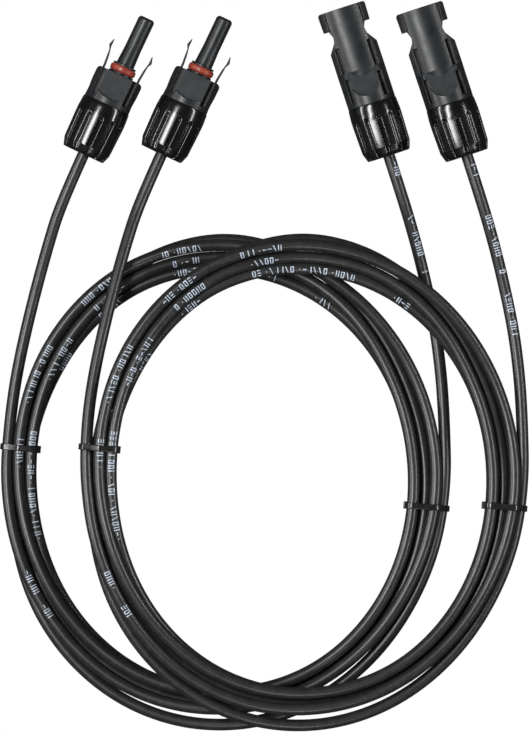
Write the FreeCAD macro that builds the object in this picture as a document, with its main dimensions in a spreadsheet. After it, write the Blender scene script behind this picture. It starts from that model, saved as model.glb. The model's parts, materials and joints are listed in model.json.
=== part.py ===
"""Pair of coiled solar extension leads, each with a socket connector and a pin connector.

Frame: +X along the row of connectors, +Y towards their mating ends, +Z up. The origin is on the
ground, under the middle of the box around the four connectors. Millimetres.
A connector's own frame has its axis along +Y, and y = 0 at the rear face of its cap nut.
"""
import FreeCAD, Part
import math
import os

import Sketcher

Vector = FreeCAD.Vector
Rotation = FreeCAD.Rotation
Placement = FreeCAD.Placement

SIZES = {
    # where the leads lie
    "coil_x": -20.7,
    "coil_y": -167.8,
    "lead_pitch": 32.7,
    "axis_height": 10.75,
    "socket_exit_x": -60.0,
    "socket_exit_y": 137.6,
    "socket_turn": -25.3,
    "pin_exit_x": 68.2,
    "pin_exit_y": 137.0,
    "pin_turn": 18.1,
    # cable and coil
    "cable_radius": 2.5,
    "coil_half_width": 94.1,
    "coil_half_length": 104.2,
    "coil_hole_half_width": 77.5,
    "coil_hole_half_length": 84.7,
    "coil_hole_x": -1.65,
    "coil_hole_y": 0.5,
    "coil_height": 9.5,
    "upper_coil_tilt": 5.7,
    "upper_coil_rise": 12.9,
    "tie_width": 2.6,
    "tie_thickness": 1.0,
    "tie_turn": -5.0,
    "tie_head": 3.6,
    "left_tie_y": 13.7,
    "left_tie_span": 16.8,
    "right_tie_y": -11.3,
    "right_tie_span": 19.6,
    # gland end, the same on every connector
    "nut_length": 23.0,
    "nut_radius": 10.75,
    "nut_rear_radius": 10.4,
    "nut_chamfer_radius": 9.2,
    "nut_chamfer_length": 3.6,
    "nut_bore_radius": 7.35,
    "nut_bore_start": 9.0,
    "nut_cone_front": 6.7,
    "nut_cone_rear": 4.5,
    "nut_cone_start": 2.6,
    "nut_hole_radius": 3.3,
    "flute_radius": 1.5,
    "flute_depth": 1.15,
    "flute_end": 17.6,
    "flute_count": 12.0,
    "spigot_radius": 7.0,
    "spigot_rear": 9.6,
    "shoulder": 23.05,
    "gland_bore_radius": 5.3,
    "gland_bore_end": 18.0,
    "cage_rear": 3.2,
    "cage_flange_rear": 7.8,
    "cage_flange_front": 9.4,
    "cage_front": 13.2,
    "cage_radius": 5.22,
    "cage_flange_radius": 6.0,
    "cage_tip_radius": 4.35,
    "cage_bore_radius": 3.75,
    "cage_slot_width": 0.9,
    "cage_slot_count": 8.0,
    "seal_rear": 5.0,
    "seal_flange_rear": 13.6,
    "seal_front": 17.2,
    "seal_radius": 3.6,
    "seal_flange_radius": 5.1,
    "insulation_end": 17.6,
    "conductor_radius": 1.25,
    "conductor_end": 25.0,
    # metal contacts
    "crimp_radius": 2.35,
    "crimp_bore_radius": 1.3,
    "crimp_rear": 17.8,
    "crimp_front": 27.0,
    "collar_radius": 3.1,
    "contact_bore_radius": 3.3,
    "pin_radius": 2.0,
    "pin_root_radius": 2.2,
    "socket_bore_radius": 2.05,
    # socket connector
    "body_radius": 10.3,
    "body_half_height": 8.3,
    "socket_body_front": 36.6,
    "socket_panel_round": 10.0,
    "socket_panel_middle": 35.4,
    "slot_x": 7.0,
    "slot_width": 1.8,
    "slot_depth": 3.2,
    "slot_rear": 25.2,
    "flange_radius": 5.5,
    "seal_groove_radius": 4.2,
    "seal_groove_rear": 37.4,
    "seal_groove_front": 40.4,
    "front_flange_radius": 5.0,
    "probe_base_y": 41.2,
    "probe_base_radius": 3.9,
    "probe_radius": 3.55,
    "probe_taper_end": 49.0,
    "probe_tip": 63.0,
    "probe_bore_radius": 2.85,
    "latch_x": 7.9,
    "latch_y": 35.2,
    "latch_root_radius": 0.75,
    "latch_seat_radius": 0.85,
    "latch_width": 6.0,
    # pin connector
    "pin_panel_half_height": 7.2,
    "pin_panel_round": 6.3,
    "pin_panel_middle": 32.8,
    "head_half_height": 8.3,
    "head_round_radius": 11.7,
    "crown_radius": 13.0,
    "wing_line_x": 7.6,
    "wing_line_depth": 0.8,
    "mouth_radius": 5.75,
    "mouth_step": 58.0,
    "pin_hole_radius": 3.85,
    "pin_web_rear": 40.5,
    "pin_web_front": 42.5,
    "pin_tip": 60.0,
}


class Size:
    """A length that knows its number and the spreadsheet expression that gives it."""

    def __init__(self, value, text):
        self.value = value
        self.text = text

    def __add__(self, other):
        other = size(other)
        return Size(self.value + other.value, f"({self.text} + {other.text})")

    def __sub__(self, other):
        other = size(other)
        return Size(self.value - other.value, f"({self.text} - {other.text})")

    def __mul__(self, factor):
        return Size(self.value * factor, f"({self.text} * {factor})")

    def __neg__(self):
        return self * -1


def size(item):
    """A Size from a sheet name, a plain number or another Size."""
    if isinstance(item, Size):
        return item
    if isinstance(item, str):
        return Size(SIZES[item], f"Sizes.{item}")
    return Size(float(item), f"{float(item)}")


doc = FreeCAD.newDocument("solar_leads")
sheet = doc.addObject("Spreadsheet::Sheet", "Sizes")
for row, (alias, number) in enumerate(SIZES.items(), start=1):
    sheet.set(f"A{row}", alias)
    sheet.set(f"B{row}", str(number))
    sheet.setAlias(f"B{row}", alias)
doc.recompute()

SUBPARTS = []


def subpart(item, label, place):
    """Registers a finished object under its node's name and puts it in place."""
    item.Label = label
    item.Placement = place
    SUBPARTS.append(item)
    return item


def bind(item, path, length):
    item.setExpression(path, size(length).text)


# ---- shared shape helpers -------------------------------------------------------------------

ALONG_Y = Rotation(Vector(1, 0, 0), -90)


def cylinder(name, radius, y_from, y_to, x=0, z=0, to_radius=None):
    """A cylinder along Y, or a cone where to_radius is given."""
    kind = "Part::Cylinder" if to_radius is None else "Part::Cone"
    item = doc.addObject(kind, name)
    item.Placement = Placement(Vector(0, 0, 0), ALONG_Y)
    if to_radius is None:
        bind(item, "Radius", radius)
    else:
        bind(item, "Radius1", radius)
        bind(item, "Radius2", to_radius)
    bind(item, "Height", size(y_to) - y_from)
    bind(item, "Placement.Base.x", x)
    bind(item, "Placement.Base.y", y_from)
    bind(item, "Placement.Base.z", z)
    return item


def upright(name, radius, x, y, height):
    """A cylinder along Z, centred on z = 0."""
    item = doc.addObject("Part::Cylinder", name)
    bind(item, "Radius", radius)
    bind(item, "Height", height)
    bind(item, "Placement.Base.x", x)
    bind(item, "Placement.Base.y", y)
    bind(item, "Placement.Base.z", size(height) * -0.5)
    return item


def box(name, x_from, x_to, y_from, y_to, z_from, z_to):
    item = doc.addObject("Part::Box", name)
    corners = ((x_from, x_to), (y_from, y_to), (z_from, z_to))
    for side, axis, (low, high) in zip(("Length", "Width", "Height"), "xyz", corners):
        bind(item, side, size(high) - low)
        bind(item, f"Placement.Base.{axis}", low)
    return item


def fuse(name, shapes):
    item = doc.addObject("Part::MultiFuse", name)
    item.Shapes = shapes
    return item


def cut(name, base, tool):
    item = doc.addObject("Part::Cut", name)
    item.Base = base
    item.Tool = tool
    return item


def common(name, shapes):
    item = doc.addObject("Part::MultiCommon", name)
    item.Shapes = shapes
    return item


def plane_of(body, role):
    return next(f for f in body.Origin.OriginFeatures if f.Role == role)


def sketch_on(body, role, name, offset=None):
    sketch = body.newObject("Sketcher::SketchObject", name)
    sketch.AttachmentSupport = [(plane_of(body, role), "")]
    sketch.MapMode = "FlatFace"
    if offset is not None:
        sketch.setExpression("AttachmentOffset.Base.z", size(offset).text)
    return sketch


def outline(sketch, points):
    """A closed outline whose every corner is held by two bound distances from the origin."""
    corners = [(size(x), size(y)) for x, y in points]
    first = sketch.GeometryCount
    for start, end in zip(corners, corners[1:] + corners[:1]):
        line = Part.LineSegment(
            Vector(start[0].value, start[1].value, 0), Vector(end[0].value, end[1].value, 0)
        )
        sketch.addGeometry(line)
    count = len(corners)
    for i, corner in enumerate(corners):
        edge = first + i
        following = first + (i + 1) % count
        sketch.addConstraint(Sketcher.Constraint("Coincident", edge, 2, following, 1))
        for kind, axis, length in (("DistanceX", -2, corner[0]), ("DistanceY", -1, corner[1])):
            if length.value == 0:
                sketch.addConstraint(Sketcher.Constraint("PointOnObject", edge, 1, axis))
                continue
            held = sketch.addConstraint(
                Sketcher.Constraint(kind, -1, 1, edge, 1, length.value)
            )
            sketch.setExpression(f"Constraints[{held}]", length.text)


def revolved(name, points):
    """A body turned about the Y axis from (radius, y) corners."""
    body = doc.addObject("PartDesign::Body", name)
    profile = sketch_on(body, "XY_Plane", name + "_profile")
    outline(profile, points)
    turn = body.newObject("PartDesign::Revolution", name + "_turn")
    turn.Profile = profile
    turn.ReferenceAxis = (profile, ["V_Axis"])
    turn.Angle = 360
    profile.Visibility = False
    doc.recompute()
    return body


def patterned_pocket(body, name, points, start, depth, count):
    """Pockets cut along +Y from y = start, repeated about the Y axis."""
    profile = sketch_on(body, "XZ_Plane", name + "_profile", -size(start))
    outline(profile, points)
    pocket = body.newObject("PartDesign::Pocket", name)
    pocket.Profile = profile
    bind(pocket, "Length", depth)
    pattern = body.newObject("PartDesign::PolarPattern", name + "_pattern")
    pattern.Originals = [pocket]
    pattern.Axis = (plane_of(body, "Y_Axis"), [""])
    pattern.Angle = 360
    pattern.setExpression("Occurrences", size(count).text)
    body.Tip = pattern
    doc.recompute()


# ---- the gland end of a connector -----------------------------------------------------------


def cap_nut(label, place):
    """Fluted union nut that screws on the housing's spigot and squeezes the cage."""
    body = revolved(
        label,
        [
            ("nut_hole_radius", 0),
            ("nut_chamfer_radius", 0),
            ("nut_rear_radius", "nut_chamfer_length"),
            ("nut_radius", size("nut_length") - 8.0),
            ("nut_radius", size("nut_length") - 5.0),
            (size("nut_radius") - 0.35, "nut_length"),
            ("nut_bore_radius", "nut_length"),
            ("nut_bore_radius", "nut_bore_start"),
            ("nut_cone_front", "nut_bore_start"),
            ("nut_cone_rear", "nut_cone_start"),
            ("nut_hole_radius", "nut_cone_start"),
        ],
    )
    bottom = size("nut_radius") - "flute_depth"
    half = size("flute_radius")
    groove = [
        (half * -0.55, bottom),
        (half * 0.55, bottom),
        (half, bottom + 2.0),
        (-half, bottom + 2.0),
    ]
    patterned_pocket(body, label + "_flute", groove, 0, "flute_end", "flute_count")
    return subpart(body, label, place)


def clamping_cage(label, place):
    """Slotted collet round the gland seal; the nut's cone closes its fingers."""
    body = revolved(
        label,
        [
            ("cage_bore_radius", "cage_rear"),
            ("cage_tip_radius", "cage_rear"),
            ("cage_flange_radius", "cage_flange_rear"),
            ("cage_flange_radius", "cage_flange_front"),
            ("cage_radius", "cage_flange_front"),
            ("cage_radius", "cage_front"),
            ("cage_bore_radius", "cage_front"),
        ],
    )
    half = size("cage_slot_width") * 0.5
    slot = [(-half, 3.0), (half, 3.0), (half, 7.0), (-half, 7.0)]
    length = size("cage_flange_rear") - 2.0
    patterned_pocket(body, label + "_slot", slot, 2.0, length, "cage_slot_count")
    return subpart(body, label, place)


def gland_seal(label, place):
    """Rubber sleeve on the cable, with a flange that fills the housing's bore."""
    body = revolved(
        label,
        [
            ("cable_radius", "seal_rear"),
            ("seal_radius", "seal_rear"),
            ("seal_radius", "seal_flange_rear"),
            ("seal_flange_radius", "seal_flange_rear"),
            ("seal_flange_radius", "seal_front"),
            ("cable_radius", "seal_front"),
        ],
    )
    return subpart(body, label, place)


def conductor(label, place):
    """Bared copper strands inside the crimp."""
    body = revolved(
        label,
        [
            (0, "insulation_end"),
            ("conductor_radius", "insulation_end"),
            ("conductor_radius", "conductor_end"),
            (0, "conductor_end"),
        ],
    )
    return subpart(body, label, place)


def socket_contact(label, place):
    """Turned contact: crimp barrel, two collars and a long socket for the pin."""
    body = revolved(
        label,
        [
            ("crimp_bore_radius", "crimp_rear"),
            ("crimp_radius", "crimp_rear"),
            ("crimp_radius", "crimp_front"),
            ("collar_radius", "crimp_front"),
            ("collar_radius", size("crimp_front") + 2.0),
            ("crimp_radius", size("crimp_front") + 2.6),
            ("crimp_radius", size("crimp_front") + 6.0),
            (size("probe_bore_radius") - 0.1, size("crimp_front") + 6.6),
            (size("probe_bore_radius") - 0.1, size("probe_tip") - 1.2),
            ("socket_bore_radius", size("probe_tip") - 1.2),
            ("socket_bore_radius", size("probe_tip") - 5.0),
            (size("socket_bore_radius") + 0.35, size("probe_tip") - 5.0),
            (size("socket_bore_radius") + 0.35, size("probe_tip") - 12.0),
            ("socket_bore_radius", size("probe_tip") - 12.0),
            ("socket_bore_radius", size("probe_tip") - 19.0),
            (0, size("probe_tip") - 19.0),
            (0, size("crimp_front") - 1.0),
            ("crimp_bore_radius", size("crimp_front") - 1.0),
        ],
    )
    return subpart(body, label, place)


def contact_louvre(label, place):
    """Sprung louvre band in the socket's groove, which grips the pin."""
    body = revolved(
        label,
        [
            ("socket_bore_radius", size("probe_tip") - 11.8),
            (size("socket_bore_radius") + 0.3, size("probe_tip") - 11.8),
            (size("socket_bore_radius") + 0.3, size("probe_tip") - 5.2),
            ("socket_bore_radius", size("probe_tip") - 5.2),
        ],
    )
    return subpart(body, label, place)


def pin_contact(label, place):
    """Turned contact: crimp barrel, two collars and the pin."""
    body = revolved(
        label,
        [
            ("crimp_bore_radius", "crimp_rear"),
            ("crimp_radius", "crimp_rear"),
            ("crimp_radius", "crimp_front"),
            ("collar_radius", "crimp_front"),
            ("collar_radius", size("crimp_front") + 2.0),
            ("crimp_radius", size("crimp_front") + 2.6),
            ("crimp_radius", size("pin_web_rear") - 3.0),
            ("collar_radius", size("pin_web_rear") - 2.4),
            ("collar_radius", size("pin_web_rear") - 0.2),
            ("pin_root_radius", size("pin_web_rear") - 0.2),
            ("pin_root_radius", "pin_web_front"),
            ("pin_radius", size("pin_web_front") + 0.3),
            ("pin_radius", size("pin_tip") - 1.4),
            (size("pin_radius") - 0.7, "pin_tip"),
            (0, "pin_tip"),
            (0, size("crimp_front") - 1.0),
            ("crimp_bore_radius", size("crimp_front") - 1.0),
        ],
    )
    return subpart(body, label, place)


# ---- housings -------------------------------------------------------------------------------


def panel_flats(name, half_height, round_radius, middle):
    """Cutter for the flat panels on top and underneath, which end in a round behind."""
    reach = fuse(
        name + "_reach",
        [
            upright(name + "_end", round_radius, 0, middle, 30),
            box(name + "_run", -15, 15, middle, 50, -15, 15),
        ],
    )
    return cut(name, reach, box(name + "_core", -15, 15, 20, 50, -size(half_height), half_height))


def plan_pad(name, right, half_height):
    """A block drawn in plan, the same on both sides; right is its outline for x > 0."""
    body = doc.addObject("PartDesign::Body", name)
    profile = sketch_on(body, "XY_Plane", name + "_profile")
    outline(profile, right + [(-size(x), y) for x, y in reversed(right)])
    pad = body.newObject("PartDesign::Pad", name + "_pad")
    pad.Profile = profile
    bind(pad, "Length", size(half_height) * 2)
    pad.Midplane = True
    body.Tip = pad
    return body


def long_slots(name, half_height, y_from, y_to):
    """Four lengthwise slots beside the middle panel: left and right, top and underside."""
    slots = []
    inner = size("slot_x") - size("slot_width") * 0.5
    outer = size("slot_x") + size("slot_width") * 0.5
    floor = size(half_height) - "slot_depth"
    for side, (low, high) in (("right", (inner, outer)), ("left", (-outer, -inner))):
        slots.append(box(f"{name}_{side}_top", low, high, y_from, y_to, floor, 12))
        slots.append(box(f"{name}_{side}_under", low, high, y_from, y_to, -12, -floor))
    return slots


def gland_bores(name, contact_end):
    """The wide bore for the seal and the cage, then the narrower one for the contact."""
    return [
        cylinder(name + "_gland_bore", "gland_bore_radius", 0, "gland_bore_end"),
        cylinder(name + "_contact_bore", "contact_bore_radius", "gland_bore_end", contact_end),
    ]


def spigot(name):
    """Threaded spigot: rings of thread on a plain tube, and a collar against the body."""
    pieces = [
        cylinder(name + "_tube", size("spigot_radius") - 0.7, "spigot_rear", "shoulder"),
        cylinder(name + "_collar", "spigot_radius", size("shoulder") - 3.0, "shoulder"),
    ]
    for i in range(THREAD_RINGS):
        middle = size("spigot_rear") + (1.0 + THREAD_PITCH * i)
        half = THREAD_PITCH * 0.4
        root = size("spigot_radius") - 0.7
        rise = cylinder(f"{name}_rise_{i}", root, middle - half, middle, 0, 0, "spigot_radius")
        fall = cylinder(f"{name}_fall_{i}", "spigot_radius", middle, middle + half, 0, 0, root)
        pieces += [rise, fall]
    return pieces


THREAD_PITCH = 1.5
THREAD_RINGS = 6


def latch_seats(name):
    """Where each latch finger is rooted: a round seat that opens to the front face."""
    seats = []
    width = size("latch_width") + 0.6
    for side, sign in (("right", 1), ("left", -1)):
        x = size("latch_x") * sign
        seats.append(upright(f"{name}_{side}_seat", "latch_seat_radius", x, "latch_y", width))
        low, high = x - 0.95, x + 0.95
        top = width * 0.5
        mouth = box(f"{name}_{side}_mouth", low, high, "latch_y", 40, -top, top)
        seats.append(mouth)
    return seats


def socket_housing(label, place):
    """Body with side wings, seal seat and the long probe that holds the socket contact."""
    front = size("socket_body_front")
    right = [(10.1, "shoulder"), (9.95, 26.5), (10.25, 30.5), (10.3, front - 1.6)]
    right += [(9.9, front - 0.5), (9.0, front)]
    body = common(
        label + "_body",
        [
            plan_pad(label + "_plan", right, "body_radius"),
            cylinder(label + "_round", "body_radius", "shoulder", front),
        ],
    )
    solid = [
        body,
        cylinder(label + "_rear_flange", "flange_radius", 30, "seal_groove_rear"),
        cylinder(label + "_seat", "seal_groove_radius", 30, "seal_groove_front"),
        cylinder(label + "_front_flange", "front_flange_radius", "seal_groove_front", "probe_base_y"),
        cylinder(
            label + "_probe_base",
            "probe_base_radius",
            "probe_base_y",
            "probe_taper_end",
            to_radius="probe_radius",
        ),
        cylinder(label + "_probe", "probe_radius", "probe_taper_end", size("probe_tip") - 1.0),
        cylinder(
            label + "_probe_tip",
            "probe_radius",
            size("probe_tip") - 1.0,
            "probe_tip",
            to_radius=size("probe_radius") - 0.8,
        ),
    ] + spigot(label + "_spigot")
    hollow = (
        gland_bores(label, size("crimp_front") + 2.7)
        + [
            cylinder(
                label + "_core_bore",
                size("crimp_radius") + 0.15,
                "gland_bore_end",
                size("crimp_front") + 7.0,
            ),
            cylinder(
                label + "_probe_bore",
                "probe_bore_radius",
                size("crimp_front") + 5.8,
                size("probe_tip") - 1.1,
            ),
            cylinder(label + "_entry", "socket_bore_radius", 50, 70),
        ]
        + long_slots(label + "_slot", "body_half_height", "slot_rear", 40)
        + latch_seats(label)
        + [
            panel_flats(
                label + "_panel", "body_half_height", "socket_panel_round", "socket_panel_middle"
            )
        ]
    )
    return subpart(cut(label, fuse(label + "_solid", solid), fuse(label + "_hollow", hollow)), label, place)


def latch(label, place, side):
    """Thin sprung finger with a hooked, barbed tip; side is 1 for the right one, -1 for the left."""
    body = doc.addObject("PartDesign::Body", label + "_finger")
    profile = sketch_on(body, "XY_Plane", label + "_profile")
    root_x, root_y = size("latch_x"), size("latch_y")
    outer = [(0.45, 0.0), (0.5, 3.0), (1.0, 9.3), (1.95, 11.2), (1.1, 13.9)]
    inner = [(0.8, 13.9), (0.75, 10.6), (0.0, 7.0), (-0.45, 3.0), (-0.45, 0.0)]
    outline(profile, [((root_x + dx) * side, root_y + dy) for dx, dy in outer + inner])
    pad = body.newObject("PartDesign::Pad", label + "_pad")
    pad.Profile = profile
    bind(pad, "Length", "latch_width")
    pad.Midplane = True
    body.Tip = pad
    root = upright(label + "_root", "latch_root_radius", root_x * side, root_y, "latch_width")
    return subpart(fuse(label + "_whole", [body, root]), label, place)


def probe_seal(label, place):
    """Coloured sealing ring round the base of the probe."""
    crown = size("flange_radius") + 0.1
    body = revolved(
        label,
        [
            (size("seal_groove_radius") + 0.02, size("seal_groove_rear") + 0.1),
            (crown - 0.5, size("seal_groove_rear") + 0.1),
            (crown, size("seal_groove_rear") + 0.8),
            (crown, size("seal_groove_front") - 0.8),
            (crown - 0.5, size("seal_groove_front") - 0.1),
            (size("seal_groove_radius") + 0.02, size("seal_groove_front") - 0.1),
        ],
    )
    return subpart(body, label, place)


def crown(name, sign):
    """Cylinder about a low axis whose upper side is the crowned top; it dips to the panel."""
    z = (size("head_half_height") - "crown_radius") * sign
    dip = cylinder(
        name + "_dip", size("crown_radius") - 1.2, 34.5, 38.0, 0, z, to_radius="crown_radius"
    )
    return fuse(name, [dip, cylinder(name + "_run", "crown_radius", 38.0, 70, 0, z)])


def pin_head(name):
    """Crowned front half of the body, neck and wide head."""
    right = [(10.25, 34.5), (10.15, 47.6), (7.2, 51.9), (6.75, 54.2), (7.9, 57.0), (10.1, 57.0)]
    right += [(10.3, 64.2), (9.7, 65.0)]
    return common(
        name,
        [
            plan_pad(name + "_plan", right, "head_half_height"),
            cylinder(name + "_round", "head_round_radius", 30, 70),
            crown(name + "_crown", 1),
            crown(name + "_under_crown", -1),
        ],
    )


def wing_lines(name):
    """Narrow lengthwise grooves that set the head's wings off from its middle."""
    grooves = []
    for side, sign in (("right", 1), ("left", -1)):
        middle = SIZES["wing_line_x"]
        rise = math.sqrt(SIZES["crown_radius"] ** 2 - middle**2)
        edge = SIZES["head_half_height"] - SIZES["crown_radius"] + rise
        low, high = middle * sign - 0.25, middle * sign + 0.25
        floor = edge - SIZES["wing_line_depth"]
        grooves.append(box(f"{name}_{side}_top", low, high, 56, 70, floor, 12))
        grooves.append(box(f"{name}_{side}_under", low, high, 56, 70, -12, -floor))
    return grooves


def pin_housing(label, place):
    """Long body with panels and slots, a crowned front half, a neck, and the probe's head."""
    rear = cut(
        label + "_rear",
        cylinder(label + "_rear_round", size("body_radius") - 0.05, "shoulder", 37.5),
        panel_flats(
            label + "_panel", "pin_panel_half_height", "pin_panel_round", "pin_panel_middle"
        ),
    )
    solid = [rear, pin_head(label + "_head")] + spigot(label + "_spigot")
    channels = [
        box(label + "_right_channel", 7.2, 9.3, 55, 70, -3.4, 3.4),
        box(label + "_left_channel", -9.3, -7.2, 55, 70, -3.4, 3.4),
    ]
    hollow = (
        gland_bores(label, "pin_web_rear")
        + [
            cylinder(label + "_pin_way", size("pin_root_radius") + 0.05, "pin_web_rear", 60),
            cylinder(label + "_probe_way", "pin_hole_radius", "pin_web_front", 70),
            cylinder(label + "_mouth", "mouth_radius", "mouth_step", 70),
        ]
        + long_slots(label + "_rear_slot", "pin_panel_half_height", 24.9, 35.4)
        + long_slots(label + "_front_slot", "pin_panel_half_height", 37.9, 49.1)
        + wing_lines(label + "_wing_line")
        + channels
    )
    return subpart(cut(label, fuse(label + "_solid", solid), fuse(label + "_hollow", hollow)), label, place)


# ---- cable, coil and ties -------------------------------------------------------------------


def rounded_wire(points):
    """Straight runs joined by tangent arcs, each as large as its two runs allow."""
    corners = [Vector(*p) for p in points]
    edges = []
    start = corners[0]
    radii = []
    for before, corner, after in zip(corners, corners[1:], corners[2:]):
        back = before - corner
        ahead = after - corner
        reach = 0.45 * min(back.Length, ahead.Length)
        half_turn = (math.pi - back.getAngle(ahead)) / 2
        radius = reach / math.tan(half_turn)
        radii.append(round(radius, 1))
        enter = corner + back.normalize() * reach
        leave = corner + ahead.normalize() * reach
        middle = (enter + leave) * 0.5
        to_centre = middle - corner
        centre = corner + to_centre.normalize() * (radius / math.cos(half_turn))
        crest = centre + (corner - centre).normalize() * radius
        edges.append(Part.LineSegment(start, enter).toShape())
        edges.append(Part.Arc(enter, crest, leave).toShape())
        start = leave
    edges.append(Part.LineSegment(start, corners[-1]).toShape())
    return Part.Wire(edges), radii


def cable_tube(label, points, place):
    """One stretch of cable that lies free between a connector and the coil."""
    wire, radii = rounded_wire(points)
    across = Vector(*points[1]) - Vector(*points[0])
    radius = SIZES["cable_radius"]
    section = Part.Wire(Part.makeCircle(radius, Vector(*points[0]), across))
    tube = wire.makePipeShell([section], True, False)
    item = doc.addObject("Part::Feature", label)
    item.Shape = tube
    expected = math.pi * radius**2 * wire.Length
    print(f"{label}: {wire.Length:.1f} mm, bend radii {radii}, volume ratio {tube.Volume / expected:.4f}")
    return subpart(item, label, place)


def ellipse_plate(name, half_width, half_length, x, y):
    curve = doc.addObject("Part::Ellipse", name + "_curve")
    bind(curve, "MajorRadius", half_length)
    bind(curve, "MinorRadius", half_width)
    curve.Placement = Placement(Vector(0, 0, 0), Rotation(Vector(0, 0, 1), 90))
    bind(curve, "Placement.Base.x", x)
    bind(curve, "Placement.Base.y", y)
    plate = doc.addObject("Part::Extrusion", name)
    plate.Base = curve
    plate.Dir = (0, 0, 1)
    plate.DirMode = "Custom"
    bind(plate, "LengthFwd", "coil_height")
    plate.Solid = True
    return plate


def cable_coil(label, place):
    """The outer shape of the tied coil: a flat oval ring."""
    disc = ellipse_plate(label + "_disc", "coil_half_width", "coil_half_length", 0, 0)
    hole = ellipse_plate(
        label + "_hole",
        "coil_hole_half_width",
        "coil_hole_half_length",
        "coil_hole_x",
        "coil_hole_y",
    )
    return subpart(cut(label, disc, hole), label, place)


def cable_tie(label, x_outer, side, span, y, place):
    """Band round the bundle with its small square head on the coil's inner side."""
    thick = size("tie_thickness")
    half = size("tie_width") * 0.5
    top = size("coil_height") + thick
    head_half = size("tie_head") * 0.5
    reach = size(span) * side
    outer_x, inner_x = sorted((size(0), reach), key=lambda s: s.value)
    band = box(label + "_band", outer_x, inner_x, -half, half, 0, top)
    gap = box(label + "_gap", outer_x + thick, inner_x - thick, -3, 3, thick, "coil_height")
    near, far = sorted((reach, reach + size("tie_head") * (0.6 * side)), key=lambda s: s.value)
    head = box(label + "_head", near, far, -head_half, head_half, 3.0, 6.6)
    whole = fuse(label + "_whole", [cut(label + "_loop", band, gap), head])
    turn = Rotation(Vector(0, 0, 1), SIZES["tie_turn"])
    here = Placement(Vector(x_outer, SIZES[y], 0), turn)
    return subpart(whole, label, place * here)


# Each free stretch as (x, y, z) from the middle of its lead's coil, from the connector to the coil.
# The first point of each is inside its connector, where the insulation ends.
LOWER_SOCKET_ROUTE = [
    (-68.5, 119.5, 10.75),
    (-75.5, 97.0, 7.0),
    (-82.3, 71.5, 3.6),
    (-88.0, 46.0, 2.6),
    (-91.0, 24.0, 2.5),
]
LOWER_PIN_ROUTE = [
    (73.5, 120.8, 10.75),
    (78.7, 103.5, 6.2),
    (83.1, 86.5, 3.0),
    (87.7, 65.0, 2.6),
    (90.4, 43.5, 2.55),
    (91.5, 24.0, 2.5),
]
UPPER_SOCKET_ROUTE = [
    (-68.2, 120.2, 10.75),
    (-75.5, 97.5, 15.5),
    (-82.3, 71.5, 19.8),
    (-88.0, 46.0, 23.2),
    (-91.0, 24.0, 24.3),
]
UPPER_PIN_ROUTE = [
    (73.5, 120.8, 10.75),
    (79.2, 101.5, 8.0),
    (83.7, 83.5, 5.6),
    (88.0, 63.0, 4.9),
    (90.4, 43.5, 5.5),
    (91.5, 24.0, 6.2),
]


def connector_place(kind, offset_x):
    middle = Vector(
        SIZES["coil_x"] + offset_x + SIZES[kind + "_exit_x"],
        SIZES["coil_y"] + SIZES[kind + "_exit_y"],
        SIZES["axis_height"],
    )
    return Placement(middle, Rotation(Vector(0, 0, 1), SIZES[kind + "_turn"]))


def stretch(label, kind, route, lead_place):
    """A free stretch whose first point is the end of the insulation inside its connector."""
    turn = math.radians(SIZES[kind + "_turn"])
    inside = SIZES["insulation_end"]
    first = (
        SIZES[kind + "_exit_x"] - math.sin(turn) * inside,
        SIZES[kind + "_exit_y"] + math.cos(turn) * inside,
        SIZES["axis_height"],
    )
    cable_tube(label, [first] + route, lead_place)


def lead(name, offset_x, coil_place, socket_route, pin_route):
    """One whole lead: two connectors, their stretches of cable, the coil and its ties."""
    socket = connector_place("socket", offset_x)
    socket_housing(name + "_socket_housing", socket)
    probe_seal(name + "_probe_seal", socket)
    latch(name + "_right_latch", socket, 1)
    latch(name + "_left_latch", socket, -1)
    socket_contact(name + "_socket_contact", socket)
    contact_louvre(name + "_contact_louvre", socket)
    pin = connector_place("pin", offset_x)
    pin_housing(name + "_pin_housing", pin)
    pin_contact(name + "_pin_contact", pin)
    for end, place in (("socket", socket), ("pin", pin)):
        gland_seal(f"{name}_{end}_gland_seal", place)
        clamping_cage(f"{name}_{end}_clamping_cage", place)
        cap_nut(f"{name}_{end}_cap_nut", place)
        conductor(f"{name}_{end}_conductor", place)
    ground = Placement(Vector(SIZES["coil_x"] + offset_x, SIZES["coil_y"], 0), Rotation())
    stretch(name + "_socket_end_cable", "socket", socket_route, ground)
    stretch(name + "_pin_end_cable", "pin", pin_route, ground)
    cable_coil(name + "_cable_coil", coil_place)
    outer = SIZES["coil_half_width"] + 0.6
    cable_tie(name + "_left_tie", -outer, 1, "left_tie_span", "left_tie_y", coil_place)
    cable_tie(name + "_right_tie", outer - 0.4, -1, "right_tie_span", "right_tie_y", coil_place)


flat = Placement(Vector(SIZES["coil_x"], SIZES["coil_y"], 0), Rotation())
tilted = Placement(
    Vector(SIZES["coil_x"] + SIZES["lead_pitch"], SIZES["coil_y"], SIZES["upper_coil_rise"]),
    Rotation(Vector(0, 1, 0), SIZES["upper_coil_tilt"]),
)
lead("lower", 0, flat, LOWER_SOCKET_ROUTE, LOWER_PIN_ROUTE)
lead("upper", SIZES["lead_pitch"], tilted, UPPER_SOCKET_ROUTE, UPPER_PIN_ROUTE)

doc.recompute()
faults = [o.Name for o in doc.Objects if "Invalid" in o.State or "Error" in o.State]
faults += [o.Label for o in SUBPARTS if o.Shape.isNull() or not o.Shape.isValid()]
if faults:
    raise SystemExit(f"failed objects: {faults}")

os.makedirs("parts", exist_ok=True)
for item in SUBPARTS:
    item.Shape.exportStep(f"parts/{item.Label}.step")
print(f"{len(SUBPARTS)} sub-parts written")
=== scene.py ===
"""Two coiled solar extension leads seen from straight above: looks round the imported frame."""

import json
import math
import random

import bmesh
import bpy
from mathutils import Matrix, Vector


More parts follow.
